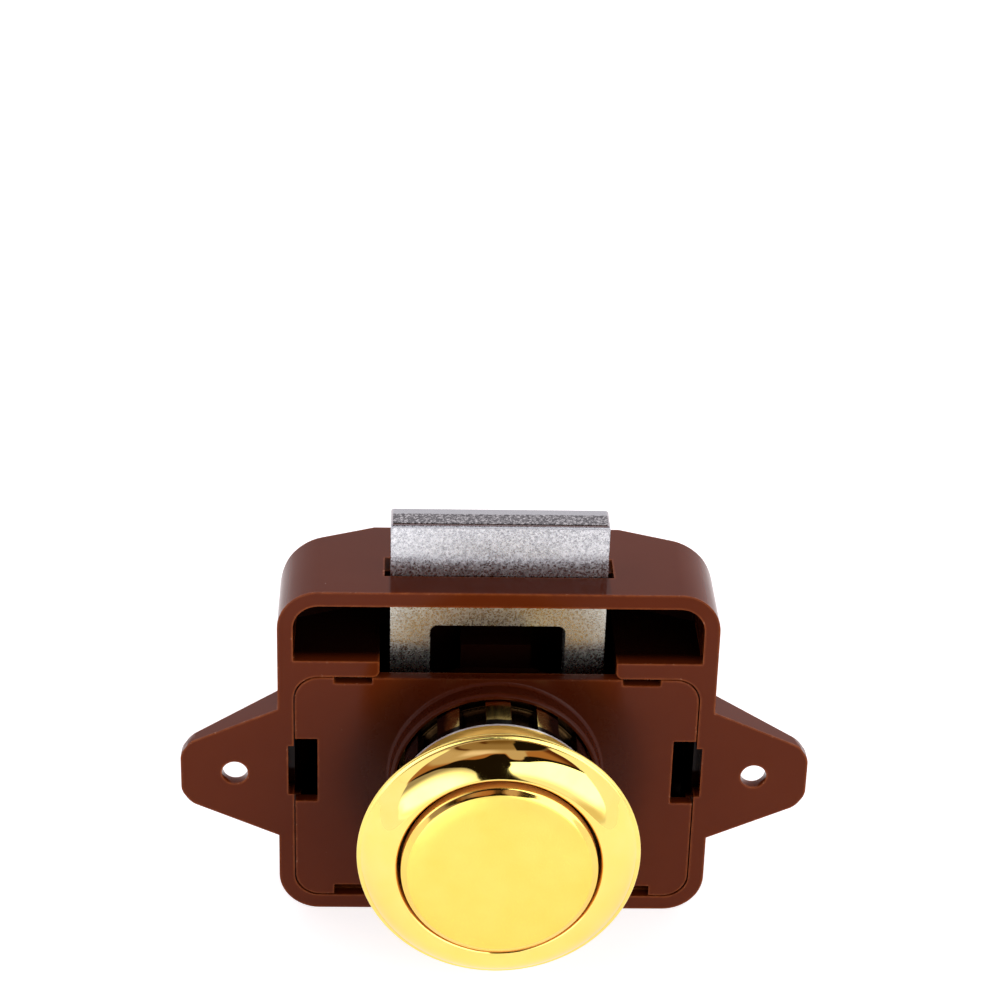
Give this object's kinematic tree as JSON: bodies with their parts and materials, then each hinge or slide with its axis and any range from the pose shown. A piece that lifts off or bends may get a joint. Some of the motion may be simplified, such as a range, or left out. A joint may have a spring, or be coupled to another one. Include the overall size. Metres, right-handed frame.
{
  "type": "push button cabinet lock",
  "caption": "Push-push button lock for a cabinet door: a flat case with a sprung bolt, screw ears and a collar, and a round button in a ring on the door's face.",
  "frame": {"origin": "on the button's axis, in the plane where the case meets the door's inner face, midway between the two screw holes", "axes": "+X to the right seen from the button's side, +Y into the cabinet along the screws, +Z the way the bolt slides out"},
  "size_m": [0.0772, 0.0381, 0.0525],
  "materials": {
    "brown_plastic": "moulded, glossy, chocolate brown",
    "bush_plastic": "moulded, natural white",
    "neck_metal": "thin gold plate, bright",
    "gold_plate": "polished gold plate",
    "plunger_plastic": "moulded, dark brown",
    "bolt_zinc": "tumbled grey metal with a fine grain",
    "spring_steel": "bright drawn wire"
  },
  "bodies": {
    "root": {"case_shell": "brown_plastic", "insert_cover": "brown_plastic", "guide_bush": "bush_plastic", "neck_sleeve": "neck_metal", "rosette_ring": "gold_plate", "main_spring": "spring_steel", "return_spring_left": "spring_steel", "return_spring_right": "spring_steel", "latch_spring": "spring_steel"},
    "button": {"button_cap": "gold_plate", "cap_screw": "spring_steel", "plunger": "plunger_plastic"},
    "bolt": {"bolt_plate": "bolt_zinc"},
    "latch": {"latch_pin": "spring_steel"}
  },
  "joints": [
    {"name": "button_slide", "type": "slide", "parent": "root", "child": "button", "axis": [0, -1, 0], "range_m": [0, 0.012], "deforming": ["main_spring"]},
    {"name": "bolt_slide", "type": "slide", "parent": "root", "child": "bolt", "axis": [0, 0, 1], "range_m": [-0.0072, 0], "deforming": ["return_spring_left", "return_spring_right"]},
    {"name": "latch_swing", "type": "hinge", "parent": "root", "child": "latch", "pos_m": [0, 0.0122, 0], "axis": [0, 0, 1], "range_deg": [0, 9.7]}
  ],
  "couplings": [
    {"joint": "bolt_slide", "follows": "button_slide", "ratio": -0.6},
    {"joint": "latch_swing", "follows": "button_slide", "rad_per_m": 14.049}
  ]
}
